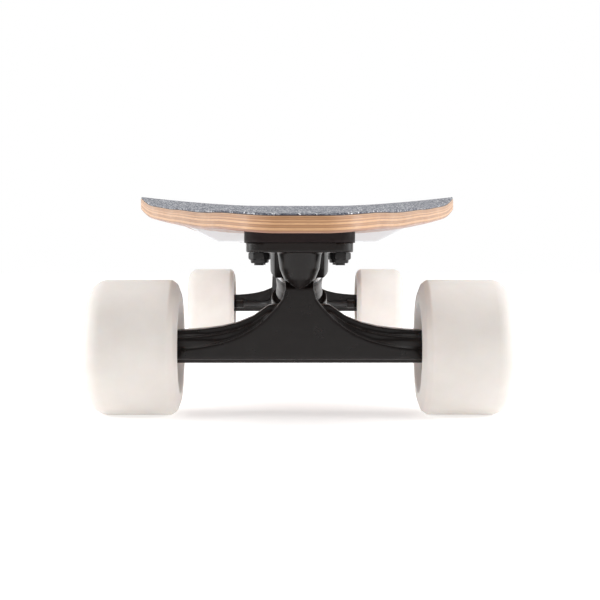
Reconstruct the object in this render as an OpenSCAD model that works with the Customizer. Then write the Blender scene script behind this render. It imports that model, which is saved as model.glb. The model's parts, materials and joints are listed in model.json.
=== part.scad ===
// Electric skateboard: cambered wooden deck, two kingpin trucks, hub motors in the rear wheels,
// and a battery pod and a controller pod under the deck.
// The origin is on the ground under the middle of the board: +Z up, +Y to the tail, +X across.

/* [Board] */
// Distance between the two axles
wheelbase = 707; // [660:1:780]
// Length of deck beyond each axle
overhang = 99; // [96:1:125]
// Width of the deck at its middle
deck_width = 234; // [212:1:262]
// Half the width of the tips, before their corners are rounded
tip_half = 26; // [22:1:31]
// Thickness of the laminated wood
deck_thickness = 8; // [7.5:0.1:10]
// Thickness of the grip tape
grip_thickness = 0.9; // [0.6:0.1:1.4]
// Height of the middle of the deck above its truck mounts
camber = 16.2; // [12:0.1:18]
// How far the tips droop below the truck mounts
tip_droop = 2.7; // [1:0.1:6]
// How far the long edges rise above the flat middle strip
cup_height = 6.9; // [5:0.1:9]
// How much further the edges rise beside the trucks
flare = 3.3; // [1:0.1:4]
// Half the width of the flat middle strip
flat_half = 29.5; // [28:0.5:31]

/* [Trucks] */
// Height from the axle to the face that the riser sits on
truck_height = 54; // [52:0.5:60]
// Thickness of the riser pad
riser_thickness = 6; // [3:0.5:13]
// Bolt spacing across the board
bolt_across = 41.3; // [40:0.1:42]
// Bolt spacing along the board
bolt_along = 54; // [53:0.1:58]
// Distance from the axle to the outer bolts
bolt_outboard = 16; // [14:0.5:18]
// Diameter of the deck bolts
bolt_d = 4.8; // [4.5:0.1:5.2]
// Width of the baseplate
plate_width = 54; // [53:0.5:56]
// Thickness of the baseplate
plate_thickness = 4.9; // [4:0.1:6]
// Half the length of the hanger between its wheel faces
hanger_half = 69; // [66:0.5:74]
// Diameter of the kingpin
kingpin_d = 9.5; // [8.5:0.1:10.2]
// Lean of the kingpin from the vertical
kingpin_lean = 30; // [27:0.5:32]
// Radius of the bushings where they meet the ring
bushing_r = 12.5; // [11.5:0.1:12.8]
// Radius of the ring round the kingpin
ring_r = 14.75; // [14.2:0.05:15.5]
// Radius of the ball at the tip of the pivot stub
pivot_r = 6.5; // [6:0.1:6.8]

/* [Wheels] */
// Diameter of the wheels
wheel_d = 70; // [68:0.5:80]
// Width of the wheels
wheel_w = 47; // [46:0.5:52]
// Distance from the middle of the board to a wheel's inner face
wheel_in = 61.5; // [60.5:0.5:62.5]
// Diameter of the axle rods
axle_d = 8; // [7.8:0.05:8]
// Radius of a wheel's outer shoulder
shoulder_r = 10; // [7:0.5:12]
// Radius of the recess in each wheel's face
recess_r = 20.5; // [18:0.5:22]

/* [Pods] */
// Length of each pod
pod_length = 150; // [148:1:170]
// Distance from the middle of the board to each pod
pod_gap_half = 20; // [18:1:30]
// Depth of each pod below the deck's chord
pod_depth = 12.2; // [10.8:0.1:14]
// Wall of the pods
pod_wall = 2; // [1.6:0.1:2.2]
// Half the width of the battery pod's flat bottom
battery_half = 52; // [52:0.5:56]
// Half the width of the controller pod's flat bottom
controller_half = 44; // [43:0.5:48]
// Slope of the pods' long sides from the horizontal
pod_slope = 27; // [26:1:34]
// Thickness of a battery cell
cell_thickness = 7; // [5:0.1:7.2]
// Diameter of the power button
button_d = 6; // [5.4:0.1:6.2]
// Travel of the power button
button_travel = 1; // [0.6:0.1:1.2]

/* [Fits] */
// Radial clearance between things that turn on each other
running_gap = 0.1; // [0.05:0.01:0.1]
// Radial clearance of things that slide together and stay
seat_gap = 0.05; // [0.03:0.01:0.1]
// Radial clearance of bolts in their holes
bolt_gap = 0.3; // [0.2:0.05:0.4]
// Gap between soft pieces and the deck
soft_gap = 0.15; // [0.1:0.05:0.3]

/* [Hidden] */
$fn = 48;

front = -1;
rear = 1;
left = -1;
right = 1;
hair = 0.02;              // overlap that joins two solids of one casting

half_wheelbase = wheelbase / 2;
half_length = half_wheelbase + overhang;
axle_z = wheel_d / 2;
plate_face = axle_z + truck_height;
deck_base = plate_face + riser_thickness;

// ---- Deck surface: camber along the board, cup across it ----
mount_inboard = 54.5;     // where the flat truck mount starts, inboard of the axle
mount_outboard = 46.5;    // and where it ends, outboard of the axle
arch_end = half_wheelbase - mount_inboard;
nose_start = half_wheelbase + mount_outboard;
arch_power = 1.55;
cup_power = 1.5;
outline_power = [1.54, 0.946];
tip_power = 40;           // how suddenly the outline rounds in at its ends
tip_share = 0.3;          // what is left of its width there
flare_from_axle = 66;     // the flare is highest this far inboard of the axle
flare_reach = 119;

function arch(u) = u < arch_end ? camber * pow(1 - pow(u / arch_end, 2), arch_power)
    : u < nose_start ? 0
    : -tip_droop * pow((u - nose_start) / (half_length - nose_start), 2);
function cup(x) = cup_height
    * pow(max(0, abs(x) - flat_half) / (deck_width / 2 - flat_half), cup_power);
function flare_share(u) = abs(u - half_wheelbase + flare_from_axle) < flare_reach
    ? pow(cos(90 * (u - half_wheelbase + flare_from_axle) / flare_reach), 2) : 0;
function flared(x, u) = flare * flare_share(u)
    * pow(min(1, max(0, abs(x) - flat_half) / max(1, half_width(u) - flat_half)), 2);
function under(x, y) = deck_base + arch(abs(y)) + cup(x) + flared(x, abs(y));
function half_width(u) = (tip_half + (deck_width / 2 - tip_half)
    * pow(max(0, 1 - pow(u / half_length, outline_power[0])), outline_power[1]))
    * (tip_share + (1 - tip_share) * sqrt(max(0, 1 - pow(u / half_length, tip_power))));

// A closed layer that follows the deck's underside, between two offsets from it.
// rows is a grid of [x, y] points, with x rising along a row and y rising from row to row.
module deck_layer(rows, low, high) {
    n = len(rows);
    m = len(rows[0]);
    function at(level, r, c) = (level * n + r) * m + c;
    function quad(a, b, c, d) = [[a, b, c], [a, c, d]];
    points = [for (offset = [low, high]) for (row = rows) for (p = row)
        [p[0], p[1], under(p[0], p[1]) + offset]];
    top = [for (r = [0 : n - 2]) for (c = [0 : m - 2])
        each quad(at(1, r, c), at(1, r + 1, c), at(1, r + 1, c + 1), at(1, r, c + 1))];
    bottom = [for (r = [0 : n - 2]) for (c = [0 : m - 2])
        each quad(at(0, r, c), at(0, r, c + 1), at(0, r + 1, c + 1), at(0, r + 1, c))];
    sides = [for (r = [0 : n - 2]) each concat(
        quad(at(0, r + 1, 0), at(1, r + 1, 0), at(1, r, 0), at(0, r, 0)),
        quad(at(0, r, m - 1), at(1, r, m - 1), at(1, r + 1, m - 1), at(0, r + 1, m - 1)))];
    ends = [for (c = [0 : m - 2]) each concat(
        quad(at(0, 0, c), at(1, 0, c), at(1, 0, c + 1), at(0, 0, c + 1)),
        quad(at(0, n - 1, c + 1), at(1, n - 1, c + 1), at(1, n - 1, c), at(0, n - 1, c)))];
    polyhedron(points, concat(top, bottom, sides, ends), convexity = 6);
}

deck_steps = 22;
side_steps = 4;
function inner_half(w) = min(flat_half, 0.55 * w);
function deck_row(w, y) = [
    for (j = [-side_steps : -1]) [-inner_half(w) + (w - inner_half(w)) * j / side_steps, y],
    for (i = [-2 : 2]) [inner_half(w) * i / 2, y],
    for (j = [1 : side_steps]) [inner_half(w) + (w - inner_half(w)) * j / side_steps, y]];
deck_rows = [for (k = [-deck_steps : deck_steps]) let (y = half_length * sin(90 * k / deck_steps))
    deck_row(half_width(abs(y)), y)];

// ---- Places ----
// A truck's own frame: the axle along X at the origin's height, +Y to the nearest tip
module at_truck(end) {
    translate([0, end * half_wheelbase, 0]) rotate([0, 0, end == rear ? 0 : 180]) children();
}

// Along an axle, +Z outwards, starting a given distance from the middle of the board
module on_axle(end, side, from) {
    translate([0, end * half_wheelbase, axle_z]) rotate([0, side * 90, 0]) translate([0, 0, from])
        children();
}

// A pod's own frame: the origin on the chord of the deck under its middle, +Y to the truck
pod_inner = under(0, pod_gap_half);
pod_outer = under(0, pod_gap_half + pod_length);
pod_tilt = asin((pod_inner - pod_outer) / pod_length);
pod_mid = pod_gap_half + pod_length * cos(pod_tilt) / 2;
pod_z = (pod_inner + pod_outer) / 2;
module at_pod(end) {
    rotate([0, 0, end == rear ? 0 : 180]) translate([0, pod_mid, pod_z]) rotate([-pod_tilt, 0, 0])
        children();
}
// Height of the deck's underside above that frame
function pod_roof(x, y) = under(x, pod_mid + y * cos(pod_tilt)) - pod_z + y * sin(pod_tilt);

// ---- General shapes ----
module ring(outer, inner, height) {
    difference() {
        cylinder(r = outer, h = height);
        translate([0, 0, -1]) cylinder(r = inner, h = height + 2);
    }
}

module rounded_block(size, r) {
    for (x = [-1, 1]) for (y = [-1, 1])
        translate([x * (size[0] / 2 - r), y * (size[1] / 2 - r), 0]) cylinder(r = r, h = size[2]);
    translate([-size[0] / 2 + r, -size[1] / 2, 0]) cube([size[0] - 2 * r, size[1], size[2]]);
    translate([-size[0] / 2, -size[1] / 2 + r, 0]) cube([size[0], size[1] - 2 * r, size[2]]);
}

// A round-ended plug about the origin, with its flat end up the Z axis
module socket(r, length) {
    rotate_extrude() {
        intersection() {
            circle(r = r);
            translate([0, -r]) square([r, r]);
        }
        square([r, length]);
    }
}

module hex(flats, height) {
    cylinder(r = flats / 2 / cos(30), h = height, $fn = 6);
}

module nut(flats, height, bore) {
    difference() {
        hex(flats, height);
        translate([0, 0, -1]) cylinder(r = bore, h = height + 2);
    }
}

// A tube along a route: rings of points square to the route, joined by quads
function unit(v) = v / norm(v);
function heading(p, i) = unit(p[min(i + 1, len(p) - 1)] - p[max(i - 1, 0)]);
module tube(route, r, sides, up) {
    n = len(route);
    points = [for (i = [0 : n - 1]) let (d = heading(route, i), u = unit(cross(d, up)), v = cross(d, u))
        for (s = [0 : sides - 1]) route[i] + r * (u * cos(360 * s / sides) + v * sin(360 * s / sides))];
    skin = [for (i = [0 : n - 2]) for (s = [0 : sides - 1]) let (t = (s + 1) % sides)
        each [[i * sides + s, (i + 1) * sides + s, (i + 1) * sides + t],
            [i * sides + s, (i + 1) * sides + t, i * sides + t]]];
    first = [for (s = [1 : sides - 2]) [0, s, s + 1]];
    last = [for (s = [1 : sides - 2]) [(n - 1) * sides, (n - 1) * sides + s + 1, (n - 1) * sides + s]];
    polyhedron(points, concat(skin, first, last), convexity = 6);
}

// ---- Deck ----
head_r = bolt_d;          // countersunk head of a deck bolt
head_depth = 3;
bolt_pattern_y = bolt_outboard - bolt_along / 2;
grip_top = deck_base + deck_thickness + grip_thickness;
module each_bolt() {
    for (end = [front, rear]) at_truck(end) for (x = [-1, 1]) for (y = [-1, 1])
        translate([x * bolt_across / 2, bolt_pattern_y + y * bolt_along / 2, 0]) children();
}
module bolt_hole() {
    translate([0, 0, plate_face - 40]) cylinder(r = bolt_d / 2 + bolt_gap, h = 80);
    translate([0, 0, grip_top - head_depth])
        cylinder(r1 = bolt_d / 2 + bolt_gap, r2 = head_r + bolt_gap, h = head_depth);
}

insert_r = 3;
insert_length = 6;
screw_x = 57;
screw_ys = [-52, 0, 52];
module each_screw() {
    for (end = [front, rear]) for (x = [-1, 1]) for (y = screw_ys) at_pod(end)
        let (sx = x * (end == front ? screw_x : screw_x - battery_half + controller_half))
            translate([sx, y, pod_roof(sx, y)]) children();
}

module deck() color([0.75, 0.57, 0.41]) difference() {
    deck_layer(deck_rows, 0, deck_thickness);
    each_bolt() bolt_hole();
    each_screw() translate([0, 0, -2]) cylinder(r = insert_r + seat_gap, h = insert_length + 2.4);
}

module grip_tape() color([0.30, 0.34, 0.42]) difference() {
    deck_layer(deck_rows, deck_thickness, deck_thickness + grip_thickness);
    each_bolt() bolt_hole();
}

module deck_bolts() color([0.12, 0.12, 0.13]) each_bolt() {
    translate([0, 0, plate_face - plate_thickness - 6.5])
        cylinder(r = bolt_d / 2, h = grip_top - head_depth + hair - plate_face + plate_thickness + 6.5);
    difference() {
        translate([0, 0, grip_top - head_depth]) cylinder(r1 = bolt_d / 2, r2 = head_r, h = head_depth);
        translate([0, 0, grip_top - 1.8]) hex(3, 4);
    }
}

lock_nut_flats = 9.2;
lock_nut_h = 5.5;
module lock_nuts() color([0.10, 0.10, 0.11]) each_bolt()
    translate([0, 0, plate_face - plate_thickness - lock_nut_h])
        nut(lock_nut_flats, lock_nut_h, bolt_d / 2 + seat_gap);

// ---- Risers and baseplates ----
plate_length = 78;
plate_round = 9;
riser_lip = 1;
module riser(end) color([0.09, 0.09, 0.10]) difference() {
    at_truck(end) translate([0, bolt_pattern_y, plate_face])
        rounded_block([plate_width + 2 * riser_lip, plate_length + 2 * riser_lip, riser_thickness],
            plate_round + riser_lip);
    each_bolt() bolt_hole();
}

// Steering: the ball of the pivot stub, and the middle of the ring round the kingpin
pivot_at = [0, 14, axle_z + 42];
ring_at = [0, -22, axle_z + 22.8];
ring_half = 4;
boss_up = ring_half + 15.8;     // from the ring's middle up the kingpin to the baseplate's boss
kingpin_flats = 14;
kingpin_head = 5.2;
// The head's upper corner ends just under the riser
kingpin_head_up = (plate_face - 0.3 - ring_at[2] - kingpin_flats / 2 / cos(30) * sin(kingpin_lean))
    / cos(kingpin_lean) - kingpin_head;
stub_lean = 45;
dome_r = 11;
// Half the outline of the pivot boss, from its tip up, in shares of the dome's radius
boss_outline = [[0, -1.04], [0.19, -1.02], [0.73, -0.58], [0.92, -0.11], [1.02, 0.62]];
cup_r = 8.6;
module on_kingpin(up) {
    translate(ring_at) rotate([-kingpin_lean, 0, 0]) translate([0, 0, up]) children();
}
module on_stub() { translate(pivot_at) rotate([180 - stub_lean, 0, 0]) children(); }

module baseplate(end) color([0.08, 0.08, 0.09]) difference() {
    at_truck(end) intersection() {
        union() {
            translate([0, bolt_pattern_y, plate_face - plate_thickness])
                rounded_block([plate_width, plate_length, plate_thickness], plate_round);
            translate(pivot_at) rotate_extrude() polygon(concat([for (p = boss_outline) p * dome_r],
                [for (x = [boss_outline[4][0] * dome_r, 0]) [x, plate_face - pivot_at[2] - 1]]));
            difference() {
                on_kingpin(boss_up) cylinder(r = 15.2, h = 18);
                on_kingpin(boss_up - 1) translate([-20, 8.5, 0]) cube([40, 20, 40]);
            }
        }
        translate([-50, -80, plate_face - 40]) cube([100, 140, 40]);
    }
    each_bolt() bolt_hole();
    at_truck(end) {
        on_stub() socket(cup_r, 20);
        on_kingpin(0) cylinder(r = kingpin_d / 2 + seat_gap, h = 60);
        on_kingpin(kingpin_head_up) cylinder(r = 8.6, h = 30);
    }
}

lower_bushing = 11;
washer_t = 2;
nut_t = 7.5;
kingpin_end = -ring_half - lower_bushing - washer_t - nut_t - 1.5;
module kingpins() color([0.45, 0.45, 0.47]) for (end = [front, rear]) at_truck(end) {
    on_kingpin(kingpin_end) cylinder(r = kingpin_d / 2, h = kingpin_head_up - kingpin_end + hair);
    on_kingpin(kingpin_head_up) hex(kingpin_flats, kingpin_head);
}

module kingpin_nuts() color([0.5, 0.5, 0.52]) for (end = [front, rear]) at_truck(end)
    on_kingpin(kingpin_end + 1.5) nut(14.3, nut_t, kingpin_d / 2 + seat_gap);

module bushing_washers() color([0.55, 0.55, 0.57]) for (end = [front, rear]) at_truck(end) {
    on_kingpin(boss_up - washer_t) ring(bushing_r, kingpin_d / 2 + seat_gap, washer_t);
    on_kingpin(-ring_half - lower_bushing - washer_t) ring(10.5, kingpin_d / 2 + seat_gap, washer_t);
}

module bushings(end) color([0.11, 0.11, 0.12]) at_truck(end) {
    difference() {
        on_kingpin(ring_half) cylinder(r = bushing_r, h = boss_up - washer_t - ring_half);
        on_kingpin(0) cylinder(r = kingpin_d / 2 + seat_gap, h = 40);
    }
    difference() {
        on_kingpin(-ring_half - lower_bushing)
            cylinder(r1 = 9.5, r2 = bushing_r - 0.5, h = lower_bushing);
        on_kingpin(-40) cylinder(r = kingpin_d / 2 + seat_gap, h = 40);
    }
}

module pivot_cups() color([0.15, 0.15, 0.16]) for (end = [front, rear]) at_truck(end) difference() {
    intersection() {
        translate(pivot_at) sphere(r = cup_r - seat_gap);
        on_stub() translate([-10, -10, -20]) cube([20, 20, 21]);
    }
    on_stub() socket(pivot_r + running_gap, 20);
}

// ---- Hangers ----
bar_top = 8.6;            // top and bottom of the axle bar from the axle
bar_bottom = 7.7;
function web_edge(x) = axle_z - 2 + 44 * exp(-x / 18.5);
function ridge_edge(x) = axle_z + 8.3 + 14.1 * exp(-max(0, x - 15.5) / 15);
function mirrored(points) =
    concat(points, [for (i = [len(points) - 1 : -1 : 0]) [-points[i][0], points[i][1]]]);
web_top = 65.5 - 35;      // height of the web's neck above the axle
neck_half = 7.4;
module web_plate() linear_extrude(6.5) polygon(mirrored([
    [64, axle_z - 5.5], for (x = [60 : -6 : 12]) [x, web_edge(x)],
    [neck_half + 1.4, web_edge(neck_half + 1.4)],
    [neck_half, axle_z + web_top]]));
module ridge_plate(thickness, low) linear_extrude(thickness) polygon(mirrored([
    [66, axle_z - 4], for (x = [64 : -8 : 16]) [x, ridge_edge(x) - low], [13, ridge_edge(0) - low]]));
// Stands an outline drawn in X and Z up at a distance y, thick towards +Y
module standing(y, thickness) translate([0, y + thickness, 0]) rotate([90, 0, 0]) children();

motor_wire_r = 2.6;
gland_y = 16;             // distance of the motor cables' glands from the axle
gland_x = [52, 60];

module hanger(end) color([0.07, 0.07, 0.08]) at_truck(end) difference() {
    union() {
        difference() {
            union() {
                if (end == rear) for (side = [left, right]) translate([0, -gland_y, axle_z])
                    rotate([0, side * 90, 0]) translate([0, 0, gland_x[0]]) {
                        cylinder(r = 4.2, h = gland_x[1] - gland_x[0]);
                        translate([-3.4, 0, 0]) cube([6.8, 8, gland_x[1] - gland_x[0]]);
                    }
                translate([-hanger_half, 0, axle_z]) rotate([90, 0, 90]) linear_extrude(2 * hanger_half)
                    polygon([[-9.5, -5], [-7, -bar_bottom], [7, -bar_bottom], [9.5, -5], [9.5, 0.5],
                        [6, 5.5], [2, bar_top], [-5, bar_top], [-9.5, 4]]);
                standing(4, 6.5) web_plate();
                standing(-12, 16) ridge_plate(16, 0);
                standing(2, 5) ridge_plate(5, 3.5);
                on_kingpin(-ring_half) cylinder(r = ring_r, h = 2 * ring_half);
                translate([-neck_half, 0, 0]) rotate([90, 0, 90]) linear_extrude(2 * neck_half)
                    polygon([[10.5, 56], [10.5, 66], [6, 72], [2, 70.5], [0.5, 66], [0.5, 56]]);
            }
            translate(pivot_at) sphere(r = dome_r + 0.85);
            on_kingpin(ring_half) cylinder(r = bushing_r + 0.4, h = 30);
            on_kingpin(-ring_half - 30) cylinder(r = bushing_r + 0.4, h = 30);
        }
        translate(pivot_at) sphere(r = pivot_r);
        on_stub() cylinder(r = 5, h = 13.5);
    }
    on_kingpin(-20) cylinder(r = 8.5, h = 40);
    if (end == rear) for (side = [left, right]) translate([0, -gland_y, axle_z])
        rotate([0, side * 90, 0]) cylinder(r = motor_wire_r + 0.3, h = gland_x[1] - 1);
    translate([-hanger_half - 1, 0, axle_z]) rotate([0, 90, 0])
        cylinder(r = axle_d / 2 + seat_gap, h = 2 * hanger_half + 2);
}

// ---- Bearings, axles and what is on them ----
bearing_outer = 11;
bearing_w = 7;
ball_r = 1.85;
track_r = (axle_d / 2 + bearing_outer) / 2;
ball_gap = 0.15;
ring_wall = 2.05;
module ball_track() { rotate_extrude() translate([track_r, bearing_w / 2]) circle(r = ball_r + ball_gap); }
module inner_ring() difference() {
    ring(axle_d / 2 + ring_wall, axle_d / 2 + seat_gap, bearing_w);
    ball_track();
}
module outer_ring() {
    difference() {
        union() {
            ring(bearing_outer - seat_gap, bearing_outer - ring_wall, bearing_w);
            for (z = [0.3, bearing_w - 0.8]) translate([0, 0, z])
                ring(bearing_outer - 1, axle_d / 2 + ring_wall + 0.3, 0.5);
        }
        ball_track();
    }
    for (i = [0 : 6]) rotate([0, 0, i * 360 / 7]) translate([track_r, 0, bearing_w / 2])
        sphere(r = ball_r);
}

washer_gap = 1;
front_bearing_in = hanger_half + washer_gap;
front_spacer = 10.2;
front_bearing_out = front_bearing_in + bearing_w + front_spacer;
front_stack_end = front_bearing_out + bearing_w;
axle_nut_h = 6;
axle_nut_flats = 12.7;
front_axle_half = front_stack_end + washer_gap + axle_nut_h + 0.4;

module axle_rod(end, half) color([0.6, 0.6, 0.62]) translate([-half, end * half_wheelbase, axle_z])
    rotate([0, 90, 0]) cylinder(r = axle_d / 2, h = 2 * half);

module front_speed_washers() color([0.7, 0.7, 0.72]) for (side = [left, right])
    for (from = [hanger_half, front_stack_end]) on_axle(front, side, from)
        ring(6.5, axle_d / 2 + seat_gap, washer_gap);

module front_bearing_spacers() color([0.7, 0.7, 0.72]) for (side = [left, right])
    on_axle(front, side, front_bearing_in + bearing_w) ring(5.6, axle_d / 2 + seat_gap, front_spacer);

module front_inner_rings() color([0.75, 0.75, 0.77]) for (side = [left, right])
    for (from = [front_bearing_in, front_bearing_out]) on_axle(front, side, from) inner_ring();

module front_axle_nuts() color([0.6, 0.6, 0.62]) for (side = [left, right])
    on_axle(front, side, front_stack_end + washer_gap)
        nut(axle_nut_flats, axle_nut_h, axle_d / 2 + seat_gap);

// ---- Front wheels ----
core_r = 17;
hub_in = front_bearing_in + 0.1 - wheel_in;
hub_out = front_stack_end - 0.1 - wheel_in;
wheel_r = wheel_d / 2;
lip_r = 28.5;
inner_shoulder = 4.5;
function arc(cx, cy, r, from, to, steps) = [for (i = [0 : steps])
    let (a = from + (to - from) * i / steps) [cx + r * cos(a), cy + r * sin(a)]];
// A tyre's outline from its inner lip round the tread to its outer lip
tread = concat(
    [[recess_r + 1, 0], [lip_r, 0], [wheel_r - 2.5, 1.5], [wheel_r - 0.8, 3], [wheel_r, inner_shoulder]],
    arc(wheel_r - shoulder_r, wheel_w - shoulder_r, shoulder_r, 0, 90, 10), [[recess_r + 1, wheel_w]]);

module front_tyre(side) color([0.88, 0.85, 0.82]) on_axle(front, side, wheel_in) rotate_extrude()
    polygon(concat(tread, [[recess_r, wheel_w - 1], [recess_r, hub_out - 3], [core_r, hub_out - 6],
        [core_r, hub_in + 6], [recess_r, hub_in + 3], [recess_r, 1]]));

module front_core(side) color([0.82, 0.82, 0.82]) on_axle(front, side, wheel_in) {
    difference() {
        union() {
            translate([0, 0, hub_in + 6]) cylinder(r = core_r, h = hub_out - hub_in - 12);
            translate([0, 0, hub_in]) cylinder(r = 14, h = hub_out - hub_in);
        }
        translate([0, 0, hub_in - 1]) cylinder(r = bearing_outer, h = bearing_w + 0.9);
        translate([0, 0, hub_out - bearing_w + 0.1]) cylinder(r = bearing_outer, h = bearing_w + 1);
        cylinder(r = 8.5, h = wheel_w);
    }
}

module front_bearings(side) color([0.75, 0.75, 0.77])
    for (from = [front_bearing_in, front_bearing_out]) on_axle(front, side, from) outer_ring();

// ---- Rear hub motors ----
can_outer = 26.95;
can_inner = 25.4;
magnet_inner = 23.3;
stator_r = 22.7;
sleeve_r = 7.5;
motor_in = hanger_half + 0.6;
big_bearing = [sleeve_r, 12, 5];
cover_w = 6;
stator_at = motor_in + cover_w + 3.1;
stator_w = 11;
end_plate_at = stator_at + stator_w + 2.6;
end_plate_w = bearing_w + 1;
motor_out = end_plate_at + end_plate_w;
teeth = 12;
magnets = 14;

module big_track() { rotate_extrude() translate([9.75, big_bearing[2] / 2]) circle(r = 1.25); }
module big_inner() difference() {
    ring(8.7, sleeve_r + seat_gap, big_bearing[2]);
    big_track();
}
module big_outer() {
    difference() {
        ring(big_bearing[1] - seat_gap, 10.8, big_bearing[2]);
        big_track();
    }
    for (i = [0 : 9]) rotate([0, 0, i * 36]) translate([9.75, 0, big_bearing[2] / 2]) sphere(r = 1.1);
}

module stator_core() difference() {
    union() {
        ring(12, axle_d / 2 + seat_gap, stator_w);
        for (i = [0 : teeth - 1]) rotate([0, 0, i * 360 / teeth]) translate([11.5, -1.5, 0])
            cube([stator_r - 12.5, 3, stator_w]);
        difference() {
            ring(stator_r, stator_r - 1.6, stator_w);
            for (i = [0 : teeth - 1]) rotate([0, 0, (i + 0.5) * 360 / teeth])
                translate([stator_r - 4, -1, -1]) cube([8, 2, stator_w + 2]);
        }
    }
}

module rear_stator_cores() color([0.35, 0.35, 0.37]) for (side = [left, right]) {
    on_axle(rear, side, stator_at) stator_core();
    on_axle(rear, side, hanger_half)
        ring(sleeve_r, axle_d / 2 + seat_gap, stator_at - hanger_half + hair);
    on_axle(rear, side, stator_at + stator_w - hair)
        ring(sleeve_r - 1.5, axle_d / 2 + seat_gap, end_plate_at + 1 - stator_at - stator_w + hair);
}

module rear_windings() color([0.72, 0.42, 0.22]) for (side = [left, right])
    on_axle(rear, side, stator_at) for (i = [0 : teeth - 1]) rotate([0, 0, i * 360 / teeth])
    difference() {
        translate([13.6, -2.6, -1.8]) cube([6.6, 5.2, stator_w + 3.6]);
        translate([13, -1.5 - seat_gap, -seat_gap]) cube([8, 3 + 2 * seat_gap, stator_w + 2 * seat_gap]);
    }

module rear_inner_rings() color([0.75, 0.75, 0.77]) for (side = [left, right]) {
    on_axle(rear, side, motor_in + 0.5) big_inner();
    on_axle(rear, side, end_plate_at + 1) inner_ring();
}

module rear_axle_nuts() color([0.6, 0.6, 0.62]) for (side = [left, right])
    on_axle(rear, side, motor_out) difference() {
        union() {
            cylinder(r = 8, h = 1.2);
            hex(axle_nut_flats, axle_nut_h);
        }
        translate([0, 0, -1]) cylinder(r = axle_d / 2 + seat_gap, h = 20);
    }

module rear_tyre(side) color([0.90, 0.88, 0.85]) on_axle(rear, side, wheel_in) rotate_extrude()
    polygon(concat([[can_outer + 0.05, 1]], [for (i = [1 : len(tread) - 2]) tread[i]],
        [[24, wheel_w], [23, wheel_w - 1], [23, motor_out - wheel_in + 0.1],
        [can_outer + 0.05, motor_out - wheel_in + 0.1]]));

module rear_rotor(side) color([0.30, 0.30, 0.32]) on_axle(rear, side, motor_in) difference() {
    union() {
        ring(can_outer, can_inner, motor_out - motor_in);
        translate([0, 0, end_plate_at - motor_in]) cylinder(r = can_inner + hair, h = end_plate_w);
    }
    translate([0, 0, end_plate_at - motor_in + 1]) cylinder(r = bearing_outer, h = 20);
    cylinder(r = 8.5, h = 40);
}

module rear_magnets(side) color([0.55, 0.56, 0.60]) on_axle(rear, side, stator_at - 1)
    for (i = [0 : magnets - 1]) rotate([0, 0, i * 360 / magnets]) rotate_extrude(angle = 22)
        translate([magnet_inner, 0]) square([can_inner - magnet_inner - seat_gap, stator_w + 2]);

module rear_cover(side) color([0.30, 0.30, 0.32]) on_axle(rear, side, motor_in) difference() {
    cylinder(r = can_inner - seat_gap, h = cover_w);
    translate([0, 0, 0.5]) cylinder(r = big_bearing[1], h = big_bearing[2] + 6);
    translate([0, 0, -1]) cylinder(r = 10.5, h = 10);
}

module rear_bearings(side) color([0.75, 0.75, 0.77]) {
    on_axle(rear, side, motor_in + 0.5) big_outer();
    on_axle(rear, side, end_plate_at + 1) outer_ring();
}

// ---- Pods ----
end_run = 6;              // how far a pod's outer end slopes in over its depth
pod_top = 10;
seal_t = 1.2;
module pod_outline(half, inset) {
    side_inset = inset / sin(pod_slope);
    end_inset = inset / cos(atan(end_run / pod_depth));
    low = -pod_depth + inset;
    wide = half - side_inset + inset / tan(pod_slope);
    long = pod_length / 2;
    intersection() {
        translate([0, 100, 0]) rotate([90, 0, 0]) linear_extrude(200) polygon([[-wide, low], [wide, low],
            [wide + (pod_top - low) / tan(pod_slope), pod_top],
            [-wide - (pod_top - low) / tan(pod_slope), pod_top]]);
        translate([-150, 0, 0]) rotate([90, 0, 90]) linear_extrude(300) polygon([[-long + inset, low],
            [long - end_run * (-low) / pod_depth - end_inset, low],
            [long + end_run * pod_top / pod_depth - end_inset, pod_top], [-long + inset, pod_top]]);
    }
}

// The space under the deck above one pod, between two offsets from the deck's underside
module pod_layer(end, low, high) {
    xs = [for (x = [-92 : 9.2 : 92]) x];
    ys = [for (i = [0 : 10]) pod_gap_half - 6 + (pod_length + 18) * i / 10];
    deck_layer([for (i = [0 : 10]) [for (x = xs) [x, end == rear ? ys[i] : -ys[10 - i]]]], low, high);
}

module pod_shell(end, half) {
    intersection() {
        difference() {
            union() {
                difference() {
                    at_pod(end) pod_outline(half, 0);
                    at_pod(end) pod_outline(half, pod_wall);
                }
                intersection() {
                    at_pod(end) pod_outline(half, 0.5);
                    at_pod(end) for (x = [-1, 1]) for (y = screw_ys)
                        translate([x * (half + screw_x - battery_half), y, -pod_depth])
                            cylinder(r = 4.2, h = 30);
                }
            }
            each_screw() screw_space();
            wire_holes();
            if (end == front) at_pod(front) {
                on_wall(port_x) cylinder(r = port_r + seat_gap, h = 30, center = true);
                on_wall(button_x) cylinder(r = bezel_r + seat_gap, h = 30, center = true);
            }
        }
        pod_layer(end, -40, -seal_t - soft_gap);
    }
}

module pod_seal(end, half) {
    intersection() {
        difference() {
            at_pod(end) pod_outline(half, 0.3);
            at_pod(end) pod_outline(half, pod_wall);
        }
        pod_layer(end, -seal_t, -soft_gap);
    }
}

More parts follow.
